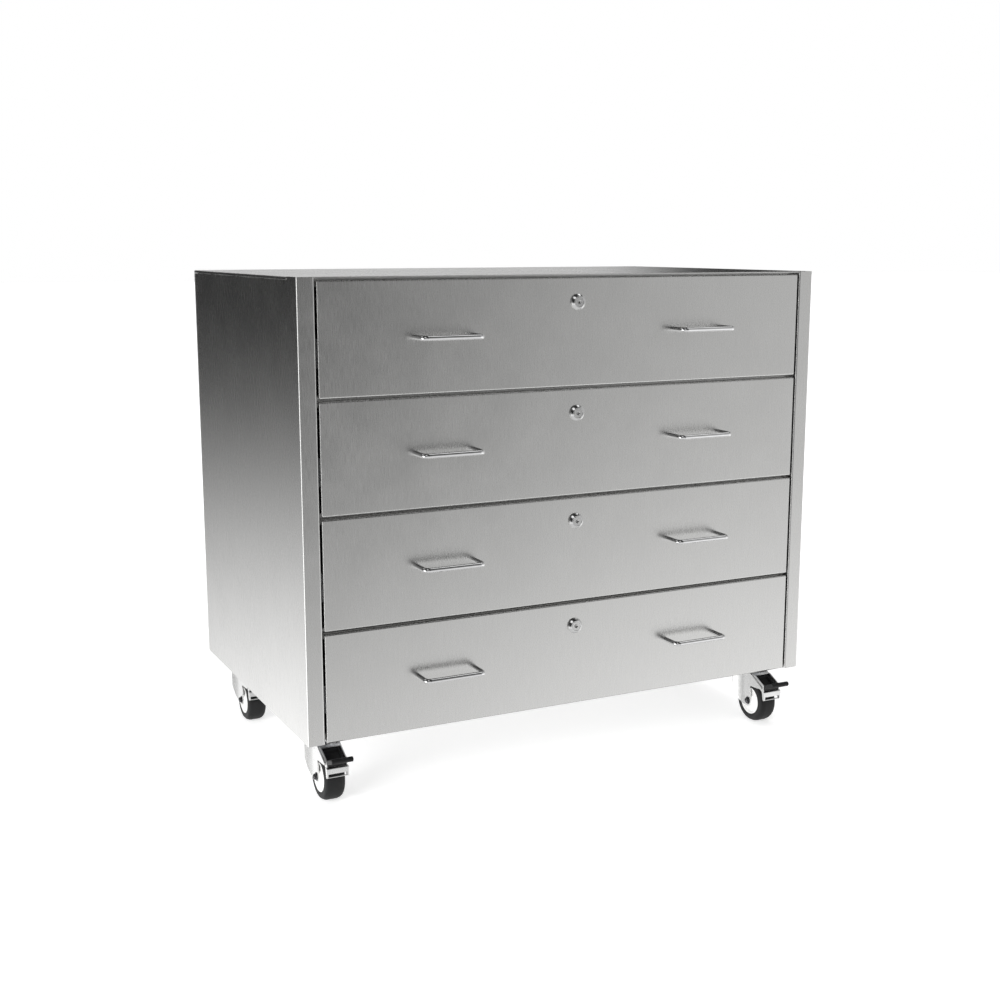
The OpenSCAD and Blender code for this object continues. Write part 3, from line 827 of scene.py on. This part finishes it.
def drawer(i):
    """One drawer: its front, pulls and lock drawn again, and the CAD's box and slides."""
    drawer_front(i)
    pulls(i)
    lock(i)
    dress(f"drawer_box_{i}", MATERIALS["box"], 0.2 * MM)
    dress(f"slide_inner_members_{i}", MATERIALS["slide"], 0.2 * MM)
    dress(f"slide_middle_members_{i}", MATERIALS["slide"], 0.2 * MM)


# ---- Casters, drawn in a frame with its origin on the floor under the swivel axis ----

def side_prism(outline, low, high):
    """An outline in the local YZ plane, in millimetres, from one X to another."""
    return prism(outline, low, high, lambda p, x: (x * MM, p[0] * MM, p[1] * MM))


def mm_lathe(profile, centre, segments):
    """A turned solid along X, in millimetres."""
    return lathe([(r * MM, x * MM) for r, x in profile], [c * MM for c in centre], "X", segments)


def two_sided(side):
    """A closed profile from one side's outline and its mirror image."""
    return side + [(r, -x) for r, x in reversed(side)] + side[:1]


def wheel(c, move):
    """Nylon hub with a dished web, and a tyre with an elliptical shoulder on each side."""
    boss = [(HUB_BORE, HUB_HALF), (BOSS_R, HUB_HALF), (8.6, 17.1), (9.6, 14.6)]
    web = [(10.6, WEB_HALF), (20.6, WEB_HALF)]
    rim = [(21.8, 14.5), (23, 16.2), (23.6, RIM_HALF), (25.6, RIM_HALF), (HUB_R, 16.3)]
    hub = mm_lathe(two_sided(boss + web + rim), (0, AXLE_Y, AXLE_Z), 72).move(move)
    piece(f"wheel_{c}_hub", hub, f"wheel_{c}", MATERIALS["hub"],
          (f"wheel_hub_{c}",), sharp=40)
    rise, fall = TYRE_R - SHOULDER_R, TYRE_HALF - CROWN_HALF
    shoulder = [(SHOULDER_R + rise * sine, TYRE_HALF - fall * (1 - cosine))
                for sine, cosine in quarter_turn(SHOULDER_STEPS)]
    bead = [(TYRE_BORE, 15.6), (26.4, 16.6), (27.6, TYRE_HALF), (30, TYRE_HALF)]
    tyre = mm_lathe(two_sided(bead + shoulder), (0, AXLE_Y, AXLE_Z), 96).move(move)
    piece(f"wheel_{c}_tyre", tyre, f"wheel_{c}", MATERIALS["tyre"],
          (f"tyre_{c}",), sharp=40)


def axle(c, move):
    """Axle rod with a domed head and a washer on each side."""
    centre = (0, AXLE_Y, AXLE_Z)
    rod = mm_lathe([(0, -AXLE_HALF), (AXLE_R, -AXLE_HALF), (AXLE_R, AXLE_HALF), (0, AXLE_HALF)],
                   centre, 32)
    washer = [(0, WASHER_IN), (WASHER_R, WASHER_IN), (WASHER_R + 0.3, WASHER_IN + 0.3),
              (WASHER_R, WASHER_OUT), (DOME_R, WASHER_OUT)]
    dome = [(DOME_R * cosine, DOME_BASE + DOME_RISE * sine)
            for sine, cosine in quarter_turn(DOME_STEPS)[:-1]]
    head = mm_lathe([*washer, *dome, (0, DOME_BASE + DOME_RISE)], centre, 48)
    piece(f"axle_{c}_bolt", both_sides(head).join(rod).move(move), f"caster_{c}",
          MATERIALS["axle"], (f"axle_{c}",), sharp=35)


def stirrup():
    """A folded strip in front of the wheel with a long slot, closed by a plate at each end."""
    front, back = STIRRUP_Y, STIRRUP_Y + 8
    path = [(back, STIRRUP_TOP), (front, STIRRUP_TOP), (front, SLOT_TOP), (front, SLOT_BOTTOM),
            (front, STIRRUP_BOTTOM), (front + 4, STIRRUP_BOTTOM)]
    pairs = bent_strip(path, STIRRUP_SHEET, STIRRUP_BEND)
    columns = [-STIRRUP_HALF, -SLOT_HALF, SLOT_HALF, STIRRUP_HALF]
    slot_row = min(range(len(pairs)), key=lambda k: abs(pairs[k][0].y - SLOT_TOP))

    def surface(i, j):
        return [(columns[i] * MM, p.x * MM, p.y * MM) for p in pairs[j]]

    def present(i, j):
        return not (i == 1 and j == slot_row)

    shape = sheet_grid(len(columns), len(pairs), surface, present)
    end_plate = [(front + 1.2, 53.2), (front + 5, 53.2), (front + 7.8, 67.7), (front + 1.2, 67.7)]
    return shape.join(both_sides(side_prism(end_plate, SLOT_HALF, STIRRUP_HALF - 0.05)))


def brake_bracket(c, move):
    """Two cheeks on a pivot pin, joined by a bridge, with the stirrup in front of the wheel."""
    nose = [(-47, 93.5), (-75, 80.2), (-75, STIRRUP_TOP), (-78.6, 67), (-78.6, 52.4), (-75, 52.4)]
    cheek = [(-20, 92), *arc(-22.5, 90.4, 3, 60, 90, 2), *nose, (-70, 67), (-57, 77), (-38, 83),
             *arc(-23.5, 87, 4, 250, 350, 4)]
    shape = both_sides(side_prism(cheek, CHEEK_IN, CHEEK_OUT))
    bridge = [(-47, 92), (-35, 92), (-35, 93.5), (-47, 93.5)]
    shape.join(side_prism(bridge, -BRIDGE_HALF, BRIDGE_HALF)).join(stirrup())
    pin = [(0, -PIVOT_HALF), (PIVOT_R, -PIVOT_HALF), (PIVOT_R, PIVOT_HALF), (0, PIVOT_HALF)]
    shape.join(mm_lathe(pin, (0, *PEDAL_PIVOT), 24))
    piece(f"brake_{c}_bracket", shape.move(move), f"brake_{c}",
          MATERIALS["bracket"], (f"brake_pedal_{c}",), bevel=0.5 * MM, sharp=35)


def brake_tread(c, move):
    """Moulded tread with a pocket, and a thick round toe that reaches out past the stirrup."""
    body, node, black = f"brake_{c}", f"brake_pedal_{c}", MATERIALS["tread"]
    tread = [(-40, 90), (-46, 90.5), (-60, 81.5), (-68, 78.5), (-77.5, 79.5), (-77.5, 70.6),
             (-70, 70.6), (-40, 84)]
    shape = side_prism(tread, -TREAD_HALF, TREAD_HALF).move(move)
    obj = piece(f"brake_{c}_tread", shape, body, black, (node,),
                bevel=0.7 * MM, segments=3, sharp=35)
    pocket = [(-48, 92), (-66, 82), (-66, 76.5), (-62, 76.5), (-50, 83)]
    cut(obj, side_prism(pocket, -POCKET_HALF, POCKET_HALF).move(move))
    toe = [(TOE_BACK, 74), (TOE_BACK, 82.8), *arc(TOE_Y, TOE_Z, TOE_R, 70, 250, 12)]
    shape = side_prism(toe, -TOE_HALF, TOE_HALF).move(move)
    piece(f"brake_{c}_toe", shape, body, black, (node,),
          bevel=1.6 * MM, segments=4, sharp=50)


def caster(c):
    """One caster: the CAD's fork, and its axle, wheel and brake drawn again."""
    swivel = JOINTS[f"caster_{c}_swivel"]["pos_m"]
    move = Matrix.Translation((swivel[0], swivel[1], 0))
    dress(f"caster_fork_{c}", MATERIALS["fork"], 0.5 * MM)
    axle(c, move)
    wheel(c, move)
    brake_bracket(c, move)
    brake_tread(c, move)


# ---- Floor, light and camera ----

def floor():
    """A pale floor that turns plain white away from the chest and doesn't show in the steel."""
    material, tree, shader = new_material("pale_floor")
    shade = stretched_noise(tree, (0.6, 0.6, 0.6), 2)
    pale = tinted(tree, (0.9, 0.9, 0.9), around(tree, shade, 1, 0.01))
    tree.links.new(pale, shader.inputs["Base Color"])
    shader.inputs["Roughness"].default_value = 0.9
    shader.inputs["Emission Color"].default_value = (1, 1, 1, 1)
    place = tree.nodes.new("ShaderNodeTexCoord")
    far = tree.nodes.new("ShaderNodeVectorMath")
    far.operation = "LENGTH"
    tree.links.new(place.outputs["Object"], far.inputs[0])
    glow = in_range(tree, far.outputs["Value"], 0.6, 1.1, 0.9, 2.6)
    tree.links.new(glow, shader.inputs["Emission Strength"])
    mesh = bpy.data.meshes.new("floor")
    reach = 30
    corners = [(-reach, -reach, 0), (reach, -reach, 0), (reach, reach, 0), (-reach, reach, 0)]
    mesh.from_pydata(corners, [], [(0, 1, 2, 3)])
    obj = bpy.data.objects.new("floor", mesh)
    bpy.context.scene.collection.objects.link(obj)
    mesh.materials.append(material)
    obj.visible_glossy = False


def world():
    """Studio surroundings: white to the camera, and soft bright and dark areas for reflections.

    Azimuth 0 is in front of the chest, towards -Y, and 90 is at +X; the angles are degrees.
    """
    surroundings = bpy.data.worlds.new("studio")
    bpy.context.scene.world = surroundings
    surroundings.use_nodes = True
    tree = surroundings.node_tree
    tree.nodes.clear()
    place = tree.nodes.new("ShaderNodeTexCoord")
    split = tree.nodes.new("ShaderNodeSeparateXYZ")
    tree.links.new(place.outputs["Generated"], split.inputs["Vector"])

    def smooth(value, start, end, strength):
        """Nothing up to the start, then a soft rise to the strength at the end."""
        node = tree.nodes.new("ShaderNodeMapRange")
        node.interpolation_type = "SMOOTHSTEP"
        node.inputs["From Min"].default_value = start
        node.inputs["From Max"].default_value = end
        node.inputs["To Min"].default_value = 0
        node.inputs["To Max"].default_value = strength
        tree.links.new(value, node.inputs["Value"])
        return node.outputs["Result"]

    def glow(azimuth, elevation, inner, outer, strength):
        """A round light that fades from its inner to its outer radius."""
        a, e = math.radians(azimuth), math.radians(elevation)
        dot = tree.nodes.new("ShaderNodeVectorMath")
        dot.operation = "DOT_PRODUCT"
        tree.links.new(place.outputs["Generated"], dot.inputs[0])
        level = math.cos(e)
        middle = (math.sin(a) * level, -math.cos(a) * level, math.sin(e))
        dot.inputs[1].default_value = middle
        edge, full = math.cos(math.radians(outer)), math.cos(math.radians(inner))
        return smooth(dot.outputs["Value"], edge, full, strength)

    def by_height(start, end, strength):
        """A light that covers every direction past an elevation."""
        edge, full = math.sin(math.radians(start)), math.sin(math.radians(end))
        return smooth(split.outputs["Z"], edge, full, strength)

    total = maths(tree, "ADD", by_height(*GROUND), by_height(*GROUND_DIP))
    for light in GLOWS:
        total = maths(tree, "ADD", total, glow(*light))
    total = maths(tree, "ADD", total, DARK)
    reflected = tree.nodes.new("ShaderNodeBackground")
    tree.links.new(total, reflected.inputs["Strength"])
    seen = tree.nodes.new("ShaderNodeBackground")
    seen.inputs["Color"].default_value = (1, 1, 1, 1)
    rays = tree.nodes.new("ShaderNodeLightPath")
    mix = tree.nodes.new("ShaderNodeMixShader")
    tree.links.new(rays.outputs["Is Camera Ray"], mix.inputs["Fac"])
    tree.links.new(reflected.outputs["Background"], mix.inputs[1])
    tree.links.new(seen.outputs["Background"], mix.inputs[2])
    output = tree.nodes.new("ShaderNodeOutputWorld")
    tree.links.new(mix.outputs["Shader"], output.inputs["Surface"])


def softbox(name, at, towards, size, power):
    """A rectangular area light that is left out of the reflections."""
    data = bpy.data.lights.new(name, "AREA")
    data.shape = "RECTANGLE"
    data.size, data.size_y = size
    data.energy = power
    obj = bpy.data.objects.new(name, data)
    obj.location = at
    obj.rotation_euler = (Vector(towards) - Vector(at)).to_track_quat("-Z", "Y").to_euler()
    obj.visible_glossy = False
    bpy.context.scene.collection.objects.link(obj)


def camera():
    """The photograph's view: 50 mm lens, a little to the left of the front and above the top."""
    data = bpy.data.cameras.new("camera")
    data.lens = LENS
    data.sensor_width = FILM_WIDTH
    obj = bpy.data.objects.new("camera", data)
    obj.location = CAMERA_AT
    obj.rotation_euler = (math.radians(CAMERA_TILT), 0, math.radians(CAMERA_TURN))
    bpy.context.scene.collection.objects.link(obj)
    bpy.context.scene.camera = obj


camera()
cabinet()
for number in DRAWERS:
    drawer(number)
for corner_name in CASTERS:
    caster(corner_name)
floor()
world()
for light in SOFTBOXES:
    softbox(*light)
bpy.context.scene.view_settings.view_transform = "Standard"
